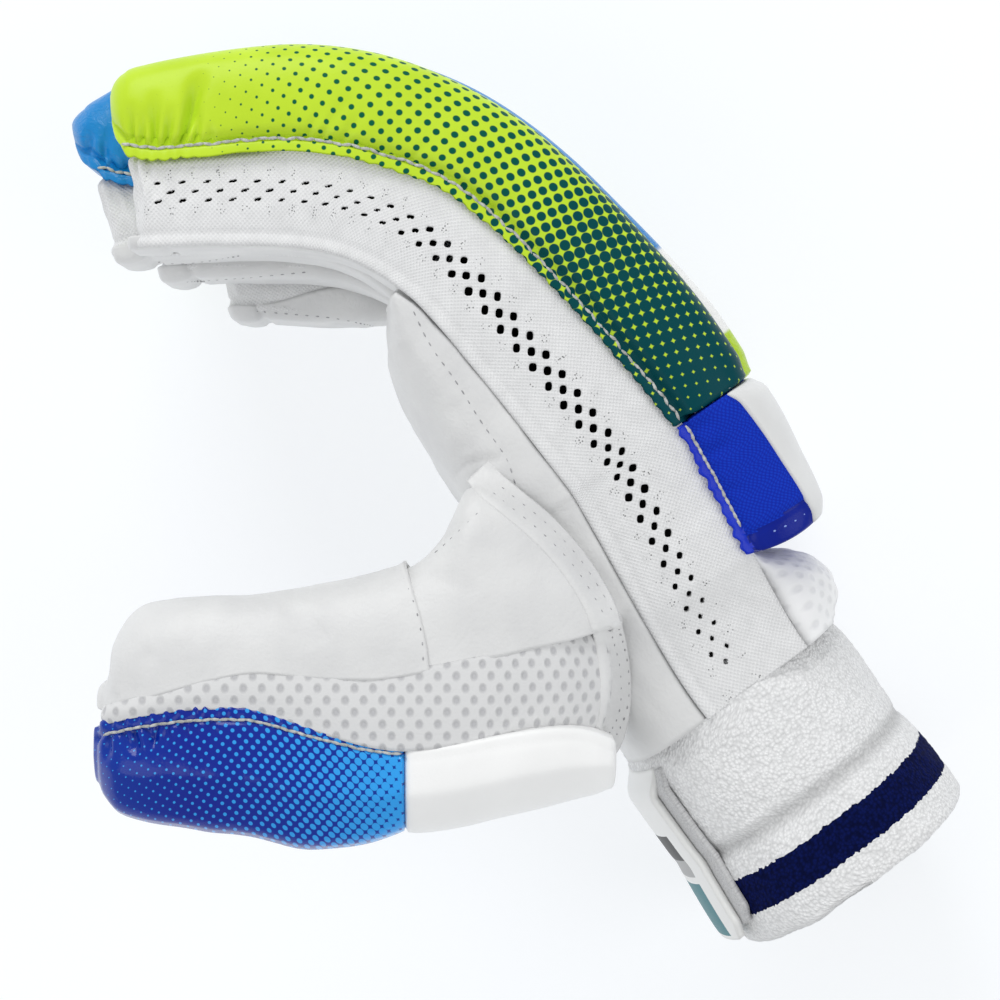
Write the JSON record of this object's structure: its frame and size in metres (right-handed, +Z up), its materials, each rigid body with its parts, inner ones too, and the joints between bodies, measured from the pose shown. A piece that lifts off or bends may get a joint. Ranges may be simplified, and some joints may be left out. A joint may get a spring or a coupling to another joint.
{
  "type": "cricket batting glove",
  "caption": "Right-hand cricket batting glove with padded finger rolls, side-guarded thumb, mesh gussets, leather palm and towelling cuff, lying on its little-finger side.",
  "frame": {"origin": "on the surface it rests on, at the middle of the footprint of its box", "axes": "+Z up, from the little-finger side to the thumb side; +Y towards the fingertips' upper side of the picture; -X the way the fingertips and the thumb point"},
  "size_m": [0.222, 0.2218, 0.1208],
  "materials": {
    "roll_lime": "coated synthetic leather, printed lime",
    "roll_azure": "coated synthetic leather, azure",
    "royal_fabric": "woven royal-blue textile over foam",
    "white_cover": "smooth white coated synthetic leather",
    "leather": "matt white glove leather",
    "knit": "white knitted mesh",
    "terry": "white towelling",
    "thumb_blue": "coated synthetic leather, printed blue",
    "strap": "white coated tab",
    "hook_felt": "grey brushed loop felt"
  },
  "bodies": {
    "root": {"little_roll": "roll_lime", "ring_roll": "roll_azure", "middle_roll": "roll_azure", "index_roll": "roll_lime", "little_gusset_thumbward": "knit", "little_side_panel": "knit", "ring_gusset_thumbward": "knit", "ring_gusset_littleward": "knit", "middle_gusset_thumbward": "knit", "middle_gusset_littleward": "knit", "index_side_panel": "knit", "index_gusset_littleward": "knit", "palm_leather": "leather", "thumb_leather": "leather", "thumb_base_leather": "leather", "thumb_mesh": "knit", "thumb_pad": "thumb_blue", "thumb_guard": "white_cover", "back_panel": "knit", "hand_pad": "royal_fabric", "hand_pad_cover": "white_cover", "cuff": "terry", "strap_backing": "hook_felt", "wrist_strap": "strap"}
  },
  "joints": []
}
